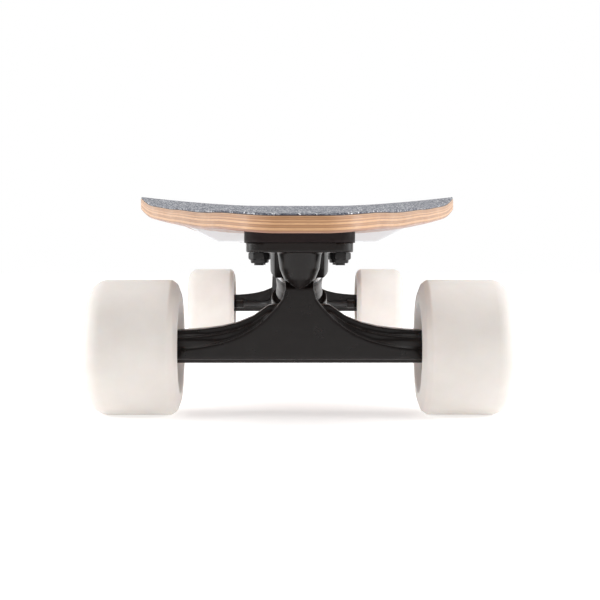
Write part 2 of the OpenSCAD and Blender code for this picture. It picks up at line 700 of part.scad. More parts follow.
pod_screw_r = 2;
screw_head = 2.6;
screw_down = 6.4;         // from the deck's underside down to the seat of the screw's head
module screw_space() {
    translate([0, 0, -30]) cylinder(r = pod_screw_r + 0.2, h = 40);
    translate([0, 0, -screw_down - 20]) cylinder(r = 3.6, h = 20);
}
module pod_screws() color([0.25, 0.25, 0.27]) each_screw() {
    translate([0, 0, -screw_down - hair]) cylinder(r = pod_screw_r, h = screw_down + insert_length - 1);
    difference() {
        translate([0, 0, -screw_down - screw_head]) cylinder(r = 3.4, h = screw_head);
        translate([0, 0, -screw_down - screw_head - 1]) hex(2.5, 2.4);
    }
}
module threaded_inserts() color([0.78, 0.62, 0.28]) each_screw()
    translate([0, 0, 0.25]) ring(insert_r, pod_screw_r + seat_gap, insert_length - 0.25);

module battery_pod() color([0.86, 0.87, 0.88]) pod_shell(front, battery_half);
module controller_pod() color([0.86, 0.87, 0.88]) pod_shell(rear, controller_half);
module battery_seal() color([0.12, 0.12, 0.12]) pod_seal(front, battery_half);
module controller_seal() color([0.12, 0.12, 0.12]) pod_seal(rear, controller_half);

floor_z = -pod_depth + pod_wall;
cell = [46, 36.5];
cell_y = -46;
module battery_cells() color([0.55, 0.57, 0.60]) at_pod(front) for (x = [-1, 1]) for (i = [0 : 2])
    translate([x * (cell[0] / 2 + 0.6) - cell[0] / 2, cell_y + i * (cell[1] + 1), floor_z + 0.1])
        cube([cell[0], cell[1], cell_thickness]);

module battery_board() color([0.10, 0.32, 0.18]) at_pod(front) {
    translate([-22, -61, floor_z + 0.1]) cube([44, 13, 1.6]);
    for (x = [-17, -8, 1, 10]) translate([x, -58, floor_z + 1.6]) cube([6, 6, 2.2]);
}

module controller_board() color([0.10, 0.32, 0.18]) at_pod(rear) {
    translate([-36, -56, floor_z + 0.1]) cube([72, 96, 1.6]);
    for (x = [-30, -18, -6, 6, 18]) for (y = [-10, 6, 22]) translate([x, y, floor_z + 1.6])
        cube([9, 10, 2.2]);
    for (x = [-20, -6, 8]) translate([x, -40, floor_z + 1.6]) cube([11, 22, 5]);
}

// ---- Power button and charging port, in the battery pod's inner wall ----
port_x = 34;
button_x = -34;
port_r = 3.9;
port_bore = 2.75;
bezel_r = 3.9;
wall_z = -5.6;            // height of both on the pod's inner wall
// On the inner wall's outer face, +Z out of the pod
module on_wall(x) { translate([x, -pod_length / 2, wall_z]) rotate([90, 0, 0]) children(); }

module power_button() color([0.15, 0.15, 0.16]) at_pod(front) on_wall(button_x) {
    translate([0, 0, -2.2]) cylinder(r = button_d / 2 - running_gap, h = 3.4);
    translate([0, 0, -4]) cylinder(r = bezel_r - 0.4, h = 0.8);
    translate([0, 0, -3.3]) cylinder(r = button_d / 2 - running_gap, h = 1.2);
}
module button_bezel() color([0.55, 0.56, 0.58]) at_pod(front) on_wall(button_x) difference() {
    union() {
        cylinder(r = 4.7, h = 0.9);
        translate([0, 0, -8]) cylinder(r = bezel_r, h = 8 + hair);
    }
    translate([0, 0, -1]) cylinder(r = button_d / 2, h = 5);
    translate([0, 0, -3.1]) cylinder(r = button_d / 2, h = 5);
    translate([0, 0, -8.5]) cylinder(r = bezel_r - 0.3, h = 5.4);
}
spring_top = -4.45;
spring_foot = -6.5;
spring_turns = 3;
module button_spring() color([0.7, 0.7, 0.72]) at_pod(front) on_wall(button_x)
    tube([for (i = [0 : spring_turns * 10]) [2.5 * cos(i * 36), 2.5 * sin(i * 36),
        spring_foot + (spring_top - spring_foot) * i / (spring_turns * 10)]], 0.2, 6, [0, 0, 1]);
module button_switch() color([0.2, 0.2, 0.22]) at_pod(front) on_wall(button_x) {
    translate([0, 0, -8]) cylinder(r = bezel_r - 0.35, h = 1.2);
    translate([0, 0, -7]) cylinder(r = 1.6, h = 1.6);
}

hinge_out = 3.4;
hinge_x = 7.6;
module charge_port() color([0.10, 0.10, 0.11]) at_pod(front) on_wall(port_x) {
    difference() {
        union() {
            translate([0, 0, -10]) cylinder(r = port_r, h = 10 + hair);
            cylinder(r = 4.7, h = 1.2);
        }
        translate([0, 0, -8]) cylinder(r = port_bore, h = 20);
    }
    translate([0, 0, -8.5]) cylinder(r = 1, h = 7);
    difference() {
        translate([hinge_x, -2.6, 0]) hinge_ears();
        translate([hinge_x, -5, hinge_out]) rotate([-90, 0, 0]) cylinder(r = 0.8, h = 10);
    }
    translate([hinge_x, -2.6, hinge_out]) rotate([-90, 0, 0]) cylinder(r = 0.8, h = 5.2);
}
module hinge_ears() {
    for (y = [0, 3.9]) translate([-1.5, y, 0]) cube([3, 1.3, hinge_out + 1.3]);
    translate([-4, 0, 0]) cube([5.5, 5.2, 1]);
}
module charge_cap() color([0.08, 0.08, 0.09]) at_pod(front) on_wall(port_x) {
    difference() {
        union() {
            translate([0, 0, 1.5]) cylinder(r = 4.7, h = 1.8);
            translate([3, -1.1, hinge_out - 0.9]) cube([hinge_x - 3, 2.2, 1.8]);
            translate([hinge_x, -1.1, hinge_out]) rotate([-90, 0, 0]) cylinder(r = 1.6, h = 2.2);
        }
        translate([hinge_x, -5, hinge_out]) rotate([-90, 0, 0]) cylinder(r = 0.8 + running_gap, h = 10);
    }
    translate([0, 0, 0.2]) ring(port_bore - 0.45, 1.2, 1.4);
}

// ---- Cables ----
wire_r = 2;
wire_x = 6;
wire_z = pod_inner - 5.2;
module wire_holes() {
    for (x = [-1, 1]) translate([x * wire_x, -60, wire_z]) rotate([-90, 0, 0])
        cylinder(r = wire_r + 0.3, h = 120);
    for (route = motor_routes) translate([route[0][0], route[0][1] - 12, route[0][2]]) rotate([-90, 0, 0])
        cylinder(r = motor_wire_r + 0.4, h = 24);
}
module power_cables() color([0.08, 0.08, 0.08]) for (x = [-1, 1])
    translate([x * wire_x, -pod_gap_half - 5, wire_z]) rotate([-90, 0, 0])
        cylinder(r = wire_r, h = 2 * pod_gap_half + 10);
channel_half = 13;
channel_depth = 9;
module cable_channel() color([0.20, 0.20, 0.21]) {
    long = 2 * pod_gap_half - 1.2;
    difference() {
        translate([-channel_half, -long / 2, pod_inner - channel_depth])
            cube([2 * channel_half, long, channel_depth - soft_gap]);
        translate([-channel_half + 1.6, -long, pod_inner - channel_depth + 1.6])
            cube([2 * channel_half - 3.2, 2 * long, channel_depth]);
    }
}

motor_wire_x = 19;
tail_z = pod_outer - 6.4;
function motor_route(s) = [
    [s * 10, pod_gap_half + pod_length - 6, tail_z], [s * 10, pod_gap_half + pod_length + 8, tail_z],
    [s * 11, pod_gap_half + pod_length + 30, tail_z - 1],
    [s * 13, pod_gap_half + pod_length + 55, tail_z - 3],
    [s * 16, pod_gap_half + pod_length + 80, tail_z - 6],
    [s * 18, pod_gap_half + pod_length + 100, tail_z - 10],
    [s * 19.5, half_wheelbase - 68, axle_z + 47], [s * 20, half_wheelbase - 54, axle_z + 37],
    [s * 20.5, half_wheelbase - 42, axle_z + 25], [s * 21, half_wheelbase - 34, axle_z + 14],
    [s * 22, half_wheelbase - 28, axle_z + 6], [s * 26, half_wheelbase - 22, axle_z + 1],
    [s * 33, half_wheelbase - 17.6, axle_z], [s * 41, half_wheelbase - gland_y, axle_z],
    [s * 50, half_wheelbase - gland_y, axle_z], [s * 56, half_wheelbase - gland_y, axle_z]];
motor_routes = [motor_route(-1), motor_route(1)];
module motor_cables() color([0.06, 0.06, 0.07]) for (route = motor_routes)
    tube(route, motor_wire_r, 8, [0, 0, 1]);

// ---- What is drawn ----
deck();
grip_tape();
riser(front);  // front_riser
riser(rear);  // rear_riser
baseplate(front);  // front_baseplate
baseplate(rear);  // rear_baseplate
pivot_cups();
kingpins();
bushings(front);  // front_bushings
bushings(rear);  // rear_bushings
bushing_washers();
kingpin_nuts();
deck_bolts();
lock_nuts();
battery_pod();
battery_seal();
battery_cells();
battery_board();
controller_pod();
controller_seal();
controller_board();
pod_screws();
threaded_inserts();
cable_channel();
power_cables();
motor_cables();
power_button();
button_bezel();
button_spring();
button_switch();
charge_port();
charge_cap();
hanger(front);  // front_hanger
axle_rod(front, front_axle_half);  // front_axle
front_speed_washers();
front_bearing_spacers();
front_inner_rings();
front_axle_nuts();
hanger(rear);  // rear_hanger
axle_rod(rear, motor_out + axle_nut_h + 0.4);  // rear_axle
rear_stator_cores();
rear_windings();
rear_inner_rings();
rear_axle_nuts();
front_tyre(left);  // front_left_tyre
front_core(left);  // front_left_core
front_bearings(left);  // front_left_bearings
front_tyre(right);  // front_right_tyre
front_core(right);  // front_right_core
front_bearings(right);  // front_right_bearings
rear_tyre(left);  // rear_left_tyre
rear_rotor(left);  // rear_left_rotor
rear_magnets(left);  // rear_left_magnets
rear_cover(left);  // rear_left_cover
rear_bearings(left);  // rear_left_bearings
rear_tyre(right);  // rear_right_tyre
rear_rotor(right);  // rear_right_rotor
rear_magnets(right);  // rear_right_magnets
rear_cover(right);  // rear_right_cover
rear_bearings(right);  // rear_right_bearings
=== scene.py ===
"""Electric skateboard: the CAD frame dressed for the render. Metres; +Z up, +Y to the tail, +X across."""
import json
import math

import bmesh
import bpy
import numpy as np
from mathutils import Vector
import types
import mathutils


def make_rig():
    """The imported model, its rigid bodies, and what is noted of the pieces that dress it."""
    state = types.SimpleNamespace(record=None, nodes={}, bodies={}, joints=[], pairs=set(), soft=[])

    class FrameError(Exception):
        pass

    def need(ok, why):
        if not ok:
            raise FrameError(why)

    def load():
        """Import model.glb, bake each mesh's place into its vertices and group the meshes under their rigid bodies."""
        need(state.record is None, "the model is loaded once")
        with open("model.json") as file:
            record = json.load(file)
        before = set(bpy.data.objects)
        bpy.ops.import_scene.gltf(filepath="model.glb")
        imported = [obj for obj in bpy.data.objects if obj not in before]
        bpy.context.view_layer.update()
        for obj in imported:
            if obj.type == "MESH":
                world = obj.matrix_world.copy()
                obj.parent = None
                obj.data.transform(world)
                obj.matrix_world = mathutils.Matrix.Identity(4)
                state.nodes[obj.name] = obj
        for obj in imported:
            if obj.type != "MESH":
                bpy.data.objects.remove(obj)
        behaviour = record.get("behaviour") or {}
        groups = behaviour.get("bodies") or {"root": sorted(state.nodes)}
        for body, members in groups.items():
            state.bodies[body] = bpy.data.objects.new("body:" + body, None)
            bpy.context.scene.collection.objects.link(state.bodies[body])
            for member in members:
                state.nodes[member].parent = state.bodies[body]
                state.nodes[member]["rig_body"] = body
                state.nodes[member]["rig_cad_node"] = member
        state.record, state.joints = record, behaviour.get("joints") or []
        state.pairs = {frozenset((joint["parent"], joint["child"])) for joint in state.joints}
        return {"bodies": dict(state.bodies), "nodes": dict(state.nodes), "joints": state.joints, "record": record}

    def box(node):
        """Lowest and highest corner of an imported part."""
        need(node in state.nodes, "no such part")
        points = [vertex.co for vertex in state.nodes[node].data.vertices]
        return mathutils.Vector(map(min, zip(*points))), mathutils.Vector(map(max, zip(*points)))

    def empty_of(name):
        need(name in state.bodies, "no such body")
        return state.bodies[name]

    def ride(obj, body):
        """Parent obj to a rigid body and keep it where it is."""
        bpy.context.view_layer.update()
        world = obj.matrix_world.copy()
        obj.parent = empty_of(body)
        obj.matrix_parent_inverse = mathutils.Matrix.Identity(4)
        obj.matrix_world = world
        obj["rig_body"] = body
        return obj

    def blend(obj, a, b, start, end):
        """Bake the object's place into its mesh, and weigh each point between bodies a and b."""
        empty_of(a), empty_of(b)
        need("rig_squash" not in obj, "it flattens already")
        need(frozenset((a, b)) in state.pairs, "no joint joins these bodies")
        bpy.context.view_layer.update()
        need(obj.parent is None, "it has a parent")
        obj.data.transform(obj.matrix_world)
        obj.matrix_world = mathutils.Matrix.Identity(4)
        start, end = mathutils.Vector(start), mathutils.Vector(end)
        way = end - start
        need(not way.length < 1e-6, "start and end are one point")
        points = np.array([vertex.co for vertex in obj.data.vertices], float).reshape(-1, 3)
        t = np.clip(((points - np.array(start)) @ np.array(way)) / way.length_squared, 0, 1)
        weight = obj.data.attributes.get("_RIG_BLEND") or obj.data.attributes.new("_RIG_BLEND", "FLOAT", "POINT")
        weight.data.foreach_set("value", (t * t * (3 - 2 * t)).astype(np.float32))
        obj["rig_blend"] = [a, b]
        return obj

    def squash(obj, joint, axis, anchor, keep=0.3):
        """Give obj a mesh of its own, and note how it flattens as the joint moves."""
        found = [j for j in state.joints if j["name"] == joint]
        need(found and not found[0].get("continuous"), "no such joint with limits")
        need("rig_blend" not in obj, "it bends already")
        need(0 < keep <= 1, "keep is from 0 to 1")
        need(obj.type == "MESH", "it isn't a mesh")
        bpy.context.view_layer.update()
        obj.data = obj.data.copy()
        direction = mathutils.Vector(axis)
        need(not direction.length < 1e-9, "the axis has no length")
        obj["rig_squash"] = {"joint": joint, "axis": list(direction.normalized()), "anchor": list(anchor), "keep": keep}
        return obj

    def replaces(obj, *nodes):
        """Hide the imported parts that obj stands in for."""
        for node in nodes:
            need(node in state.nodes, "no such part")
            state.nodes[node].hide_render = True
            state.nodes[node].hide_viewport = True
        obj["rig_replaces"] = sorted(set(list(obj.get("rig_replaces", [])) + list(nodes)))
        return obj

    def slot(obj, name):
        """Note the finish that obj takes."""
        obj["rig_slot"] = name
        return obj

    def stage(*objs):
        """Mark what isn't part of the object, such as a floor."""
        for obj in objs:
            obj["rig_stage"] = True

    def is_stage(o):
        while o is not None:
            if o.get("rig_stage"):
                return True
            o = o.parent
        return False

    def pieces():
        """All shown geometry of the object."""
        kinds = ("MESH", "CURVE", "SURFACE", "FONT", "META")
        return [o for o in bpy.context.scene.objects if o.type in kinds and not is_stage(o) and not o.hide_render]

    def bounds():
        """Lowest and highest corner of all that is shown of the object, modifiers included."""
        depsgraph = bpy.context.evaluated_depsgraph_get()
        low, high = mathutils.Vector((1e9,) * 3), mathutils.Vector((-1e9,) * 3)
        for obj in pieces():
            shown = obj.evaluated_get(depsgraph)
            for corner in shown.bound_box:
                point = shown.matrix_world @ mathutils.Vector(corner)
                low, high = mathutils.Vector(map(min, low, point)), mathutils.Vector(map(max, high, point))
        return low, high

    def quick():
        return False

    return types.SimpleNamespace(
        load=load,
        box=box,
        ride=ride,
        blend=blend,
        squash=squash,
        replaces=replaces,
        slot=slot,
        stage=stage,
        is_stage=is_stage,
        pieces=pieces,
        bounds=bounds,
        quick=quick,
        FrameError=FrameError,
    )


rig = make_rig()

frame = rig.load()
NODES = frame["nodes"]
cad_box = [list(map(float, p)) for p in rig.bounds()]
mm = 0.001
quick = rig.quick()

# ---------------------------------------------------------------- camera, light, floor
scene = bpy.context.scene
scene.view_settings.view_transform = "Standard"
scene.view_settings.look = "None"

camera = bpy.data.objects.new("camera", bpy.data.cameras.new("camera"))
scene.collection.objects.link(camera)
camera.location = (-0.0043, -1.0835, 0.0813)
camera.rotation_euler = (math.radians(90 - 1.71), 0, math.radians(-0.36))
camera.data.lens = 84.5
camera.data.sensor_width = 36
scene.camera = camera

world = bpy.data.worlds.new("studio")
scene.world = world
world.use_nodes = True
sky = world.node_tree
seen = sky.nodes["Background"]
seen.inputs[0].default_value = (1.0, 1.0, 1.0, 1)
# What lights the board: a white studio, dimmer on the side that the board's nose faces
glow = sky.nodes.new("ShaderNodeBackground")
glow.inputs[0].default_value = (1.0, 0.99, 0.975, 1)
toward = sky.nodes.new("ShaderNodeSeparateXYZ")
sky.links.new(sky.nodes.new("ShaderNodeTexCoord").outputs["Generated"], toward.inputs[0])
dim = sky.nodes.new("ShaderNodeMapRange")
dim.interpolation_type = "SMOOTHSTEP"
for key, value in (("From Min", -0.95), ("From Max", 0.10), ("To Min", 0.18), ("To Max", 0.95)):
    dim.inputs[key].default_value = value
sky.links.new(toward.outputs["Y"], dim.inputs["Value"])
sky.links.new(dim.outputs[0], glow.inputs[1])
either = sky.nodes.new("ShaderNodeMixShader")
sky.links.new(sky.nodes.new("ShaderNodeLightPath").outputs["Is Camera Ray"], either.inputs[0])
sky.links.new(glow.outputs[0], either.inputs[1])
sky.links.new(seen.outputs[0], either.inputs[2])
sky.links.new(either.outputs[0], sky.nodes["World Output"].inputs[0])


def area_light(name, place, aim, size, power, colour=(1, 1, 1)):
    data = bpy.data.lights.new(name, "AREA")
    data.shape = "RECTANGLE"
    data.size, data.size_y = size
    data.energy = power
    data.color = colour
    lamp = bpy.data.objects.new(name, data)
    scene.collection.objects.link(lamp)
    lamp.location = place
    lamp.rotation_euler = (Vector(aim) - Vector(place)).to_track_quat("-Z", "Y").to_euler()
    return lamp


area_light("softbox_above", (0.0, -0.1, 1.5), (0, 0, 0.1), (1.6, 2.0), 9)
area_light("softbox_left", (-1.3, -0.9, 0.7), (0, -0.3, 0.06), (0.9, 0.9), 5)
area_light("softbox_right", (1.4, -0.8, 0.7), (0, -0.3, 0.06), (0.8, 0.8), 8)
area_light("rear_left", (-0.75, -0.15, 0.25), (-0.09, 0.353, 0.035), (0.4, 0.4), 2.2, (0.94, 0.98, 1.0))
area_light("rear_right", (0.75, -0.15, 0.25), (0.09, 0.353, 0.035), (0.4, 0.4), 2.2, (0.94, 0.98, 1.0))


# ---------------------------------------------------------------- materials
class Paint:
    """One node material: a Principled shader, with patterns joined to its colour, roughness and bump."""

    def __init__(self, name, colour, rough, metallic=0.0, **sockets):
        self.m = bpy.data.materials.new(name)
        self.m.use_nodes = True
        self.t = self.m.node_tree
        self.p = self.t.nodes["Principled BSDF"]
        self.m.diffuse_color = (*colour, 1)
        self.p.inputs["Base Color"].default_value = (*colour, 1)
        self.p.inputs["Roughness"].default_value = rough
        self.p.inputs["Metallic"].default_value = metallic
        for key, value in sockets.items():
            self.p.inputs[key.replace("_", " ")].default_value = value
        self.colour = (*colour, 1)
        self.place = self.node("ShaderNodeTexCoord").outputs["Object"]
        self.height = None

    def node(self, kind, **settings):
        n = self.t.nodes.new(kind)
        for key, value in settings.items():
            setattr(n, key, value)
        return n

    def link(self, a, b):
        self.t.links.new(a, b)

    def stretched(self, scale):
        """The object's coordinates in metres, stretched."""
        n = self.node("ShaderNodeMapping")
        n.inputs["Scale"].default_value = scale
        self.link(self.place, n.inputs["Vector"])
        return n.outputs[0]

    def noise(self, size, detail=4.0, rough=0.55, stretch=(1, 1, 1), distortion=0.0):
        """Noise with features of that size in metres."""
        n = self.node("ShaderNodeTexNoise")
        n.inputs["Scale"].default_value = 1 / size
        n.inputs["Detail"].default_value = detail
        n.inputs["Roughness"].default_value = rough
        n.inputs["Distortion"].default_value = distortion
        self.link(self.stretched(stretch), n.inputs["Vector"])
        return n.outputs["Fac"]

    def cells(self, size, output="Color"):
        n = self.node("ShaderNodeTexVoronoi")
        n.inputs["Scale"].default_value = 1 / size
        self.link(self.place, n.inputs["Vector"])
        return n.outputs[output]

    def spread(self, value, low, high, start=0.0, end=1.0):
        """value from low..high mapped to start..end, clamped."""
        n = self.node("ShaderNodeMapRange")
        self.link(value, n.inputs["Value"])
        for key, v in (("From Min", low), ("From Max", high), ("To Min", start), ("To Max", end)):
            n.inputs[key].default_value = v
        return n.outputs[0]

    def mix(self, factor, a, b, kind="MIX"):
        n = self.node("ShaderNodeMix", data_type="RGBA", blend_type=kind)
        for socket, value in ((n.inputs[0], factor), (n.inputs[6], a), (n.inputs[7], b)):
            if isinstance(value, (int, float)):
                socket.default_value = value
            elif isinstance(value, (tuple, list)):
                socket.default_value = (*value[:3], 1)
            else:
                self.link(value, socket)
        return n.outputs[2]

    def ramp(self, value, stops, step="LINEAR"):
        n = self.node("ShaderNodeValToRGB")
        n.color_ramp.interpolation = step
        while len(n.color_ramp.elements) < len(stops):
            n.color_ramp.elements.new(0.5)
        for element, (at, colour) in zip(n.color_ramp.elements, stops):
            element.position = at
            element.color = (*colour, 1)
        self.link(value, n.inputs[0])
        return n.outputs[0]

    def attribute(self, name):
        return self.node("ShaderNodeAttribute", attribute_name=name).outputs["Fac"]

    def colours(self, output):
        self.link(output, self.p.inputs["Base Color"])
        return self

    def roughness(self, output):
        self.link(output, self.p.inputs["Roughness"])
        return self

    def bump(self, height, depth, strength=1.0):
        """Adds a bump with that depth in metres; later ones lie on top of earlier ones."""
        n = self.node("ShaderNodeBump")
        n.inputs["Strength"].default_value = strength
        n.inputs["Distance"].default_value = depth
        self.link(height, n.inputs["Height"])
        if self.height is not None:
            self.link(self.height, n.inputs["Normal"])
        self.height = n.outputs[0]
        self.link(self.height, self.p.inputs["Normal"])
        return self


def dulled(paint, share=0.12, size=0.02):
    """Slow colour change and patchy gloss, so that nothing reads as one flat colour."""
    slow = paint.noise(size, 3)
    c = paint.colour
    paint.colours(paint.mix(slow, [x * (1 - share) for x in c[:3]], [min(1, x * (1 + share)) for x in c[:3]]))
    rough = paint.p.inputs["Roughness"].default_value
    paint.roughness(paint.spread(paint.noise(size * 0.3, 4), 0.3, 0.7, rough * 0.85, min(1, rough * 1.15)))
    return paint


def make_materials():
    made = {}

    def add(key, paint):
        made[key] = paint.m
        return paint

    # Satin black powder coat over cast metal
    p = Paint("cast_black", (0.0066, 0.0046, 0.0042), 0.31, Specular_IOR_Level=0.30)
    p = dulled(add("cast_black", p), 0.15)
    p.bump(p.noise(0.0011, 2), 0.00008, 0.5).bump(p.noise(0.006, 2), 0.0002, 0.35)
    p = Paint("riser_black", (0.011, 0.0062, 0.0066), 0.6, Specular_IOR_Level=0.22)
    p = dulled(add("riser_black", p), 0.2)
    p.bump(p.noise(0.0006, 3), 0.00008, 0.7)
    p = dulled(add("bushing", Paint("bushing", (0.034, 0.030, 0.030), 0.38, Coat_Weight=0.2)), 0.15)
    p.bump(p.noise(0.0015, 2), 0.00006, 0.5)
    p = dulled(add("cup", Paint("cup", (0.02, 0.02, 0.02), 0.6)), 0.2)
    p.bump(p.noise(0.001, 2), 0.00005)
    p = dulled(add("black_rubber", Paint("black_rubber", (0.016, 0.016, 0.016), 0.7)), 0.2)
    p.bump(p.noise(0.0008, 3), 0.00006)
    p = dulled(add("cable", Paint("cable", (0.013, 0.013, 0.014), 0.42)), 0.2)
    p.bump(p.noise(0.002, 2, stretch=(1, 0.2, 1)), 0.00005)

    # Bare and blackened steel with turning lines
    for key, colour, rough in (("steel", (0.50, 0.50, 0.51), 0.30), ("bolt_black", (0.022, 0.021, 0.021), 0.36),
                               ("aluminium", (0.66, 0.67, 0.68), 0.34)):
        p = dulled(add(key, Paint(key, colour, rough, 0.6 if key == "bolt_black" else 1.0)), 0.12, 0.006)
        p.bump(p.noise(0.00025, 3, stretch=(0.15, 1, 1)), 0.00002, 0.6)
    p = dulled(add("brass", Paint("brass", (0.72, 0.50, 0.20), 0.3, 1.0)), 0.1, 0.004)
    p.bump(p.noise(0.0005, 2), 0.00004)
    p = dulled(add("motor_steel", Paint("motor_steel", (0.045, 0.045, 0.05), 0.42, 0.5)), 0.15)
    p.bump(p.noise(0.0008, 3), 0.00005, 0.6)
    p = dulled(add("magnet", Paint("magnet", (0.46, 0.46, 0.48), 0.22, 1.0)), 0.08, 0.006)
    p.bump(p.noise(0.0015, 3), 0.00004, 0.5)

    # Stacked sheet steel: fine lines square to the axle
    p = add("stator_steel", Paint("stator_steel", (0.16, 0.16, 0.17), 0.45, 0.8))
    wave = p.node("ShaderNodeTexWave", bands_direction="X")
    wave.inputs["Scale"].default_value = 1 / 0.0007 / 6.283
    p.link(p.place, wave.inputs["Vector"])
    p.colours(p.mix(wave.outputs["Fac"], (0.10, 0.10, 0.11), (0.2, 0.2, 0.21))).bump(wave.outputs["Fac"], 0.00006)

    # Enamelled copper wire, wound round the teeth
    p = add("copper", Paint("copper", (0.60, 0.24, 0.09), 0.28, 0.7, Coat_Weight=0.6))
    wave = p.node("ShaderNodeTexWave", bands_direction="DIAGONAL")
    wave.inputs["Scale"].default_value = 1 / 0.0006 / 6.283
    wave.inputs["Distortion"].default_value = 1.5
    p.link(p.place, wave.inputs["Vector"])
    p.colours(p.mix(wave.outputs["Fac"], (0.24, 0.08, 0.03), (0.66, 0.28, 0.11))).bump(wave.outputs["Fac"], 0.0002)

    # Cast urethane: warm white, cloudy, a little light passes into it; patchy gloss and fine bumps all over
    p = add("tyre_white", Paint("tyre_white", (0.725, 0.685, 0.65), 0.48, Subsurface_Weight=0.35,
                                Subsurface_Scale=0.004, Coat_Weight=0.06))
    p.p.inputs["Subsurface Radius"].default_value = (1.0, 0.6, 0.4)
    cloud = p.noise(0.02, 5)
    p.colours(p.mix(p.spread(cloud, 0.3, 0.7), (0.70, 0.66, 0.625), (0.75, 0.71, 0.675)))
    p.roughness(p.spread(p.noise(0.006, 5), 0.3, 0.7, 0.40, 0.60))
    p.bump(p.noise(0.0007, 3), 0.00005, 0.6).bump(p.noise(0.012, 2), 0.0003, 0.25)
    p = dulled(add("core_plastic", Paint("core_plastic", (0.62, 0.61, 0.59), 0.4)), 0.05)
    p.bump(p.noise(0.0008, 2), 0.00004)

    # Finely textured pale grey moulding
    p = dulled(add("pod_grey", Paint("pod_grey", (0.68, 0.695, 0.715), 0.5)), 0.02, 0.04)
    p.bump(p.cells(0.0007, "Distance"), 0.00006, 0.6)
    p = dulled(add("channel_plastic", Paint("channel_plastic", (0.06, 0.06, 0.065), 0.5)), 0.15)
    p.bump(p.cells(0.0007, "Distance"), 0.00005, 0.6)
    p = dulled(add("black_plastic", Paint("black_plastic", (0.022, 0.022, 0.024), 0.4)), 0.15)
    p.bump(p.cells(0.0005, "Distance"), 0.00004, 0.5)
    p = dulled(add("cell_wrap", Paint("cell_wrap", (0.30, 0.34, 0.38), 0.3, 0.6)), 0.1, 0.01)
    p.bump(p.noise(0.004, 4, distortion=1.0), 0.0003, 0.5)

    # Circuit board: solder mask with tracks and pads
    p = add("circuit_board", Paint("circuit_board", (0.02, 0.14, 0.06), 0.28, Coat_Weight=0.4))
    brick = p.node("ShaderNodeTexBrick")
    brick.inputs["Scale"].default_value = 160
    brick.inputs["Mortar Size"].default_value = 0.04
    p.link(p.place, brick.inputs["Vector"])
    pads = p.spread(p.cells(0.0035, "Distance"), 0.10, 0.12, 1, 0)
    tracks = p.mix(brick.outputs["Fac"], (0.02, 0.12, 0.05), (0.05, 0.22, 0.10))
    p.colours(p.mix(pads, tracks, (0.7, 0.68, 0.62))).bump(brick.outputs["Fac"], 0.00005)

    # Grit on a blue-grey sheet: every grain its own tone; the palest few are painted glints
    p = add("grip", Paint("grip", (0.20, 0.215, 0.25), 0.85, Specular_IOR_Level=0.4))
    grain = p.cells(0.0009)
    split = p.node("ShaderNodeSeparateColor")
    p.link(grain, split.inputs[0])
    # The darker stops are the grit's own tones; the near-white last stop is a painted glint on a few grains
    grain_tone_and_glint = p.ramp(split.outputs[0], [(0.0, (0.030, 0.034, 0.054)), (0.45, (0.105, 0.112, 0.142)),
                                     (0.80, (0.26, 0.27, 0.30)), (0.96, (0.90, 0.91, 0.93))])
    p.colours(p.mix(p.spread(p.noise(0.05, 3), 0.3, 0.7, 0, 0.2), grain_tone_and_glint, (0.16, 0.17, 0.20)))
    p.roughness(p.spread(split.outputs[1], 0, 1, 0.45, 0.95))
    p.bump(p.cells(0.0009, "Distance"), 0.0005, 0.9).bump(p.noise(0.0012, 3), 0.0003, 0.5)

    # Maple plies: the side shows seven layers, the underside one long-grained face
    p = add("wood", Paint("wood", (0.60, 0.37, 0.20), 0.42, Coat_Weight=0.25, Coat_Roughness=0.25))
    ply = p.attribute("ply")
    side = p.attribute("side")
    streak = p.noise(0.004, 6, 0.6, stretch=(1, 0.05, 1), distortion=0.6)
    fine = p.noise(0.0009, 4, 0.6, stretch=(1, 0.04, 1))
    face = p.mix(p.spread(streak, 0.3, 0.7), (0.27, 0.135, 0.095), (0.40, 0.22, 0.155))
    face = p.mix(p.spread(fine, 0.35, 0.65, 0, 0.35), face, (0.20, 0.09, 0.06))
    pale, tan, glue = (0.64, 0.37, 0.19), (0.38, 0.185, 0.080), (0.15, 0.055, 0.022)
    skin, edge = (0.25, 0.115, 0.085), (0.05, 0.03, 0.025)
    layers = p.ramp(ply, [(0.0, skin), (0.09, skin), (0.12, tan), (0.14, glue), (0.17, pale), (0.29, pale),
                          (0.315, glue), (0.34, tan), (0.43, tan), (0.455, glue), (0.48, pale), (0.585, pale),
                          (0.61, glue), (0.635, tan), (0.735, pale), (0.76, glue), (0.785, tan), (0.88, tan),
                          (0.905, glue), (0.925, pale), (0.945, pale), (0.965, edge)])
    endgrain = p.noise(0.0012, 5, 0.65, stretch=(0.22, 0.22, 2.5))
    layers = p.mix(p.spread(endgrain, 0.35, 0.7, 0, 0.5), layers, (0.34, 0.155, 0.07))
    slow = p.noise(0.035, 3, stretch=(1, 1, 0.3))
    layers = p.mix(p.spread(slow, 0.35, 0.7, 0, 0.25), layers, (0.66, 0.40, 0.22))
    p.colours(p.mix(side, face, layers))
    p.roughness(p.spread(streak, 0.3, 0.7, 0.36, 0.52))
    p.bump(fine, 0.00006, 0.5).bump(endgrain, 0.00008, 0.5)

    p = add("floor", Paint("floor", (0.93, 0.93, 0.93), 0.9, Emission_Strength=0.38))
    p.p.inputs["Emission Color"].default_value = (1, 1, 1, 1)
    p.bump(p.noise(0.5, 2), 0.0005, 0.1)
    return made


MATERIALS = make_materials()


def dress(obj, key):
    obj.data.materials.clear()
    obj.data.materials.append(MATERIALS[key])


for part in frame["record"]["subparts"]:
    if part["node"] in NODES:
        dress(NODES[part["node"]], part["material_slot"])


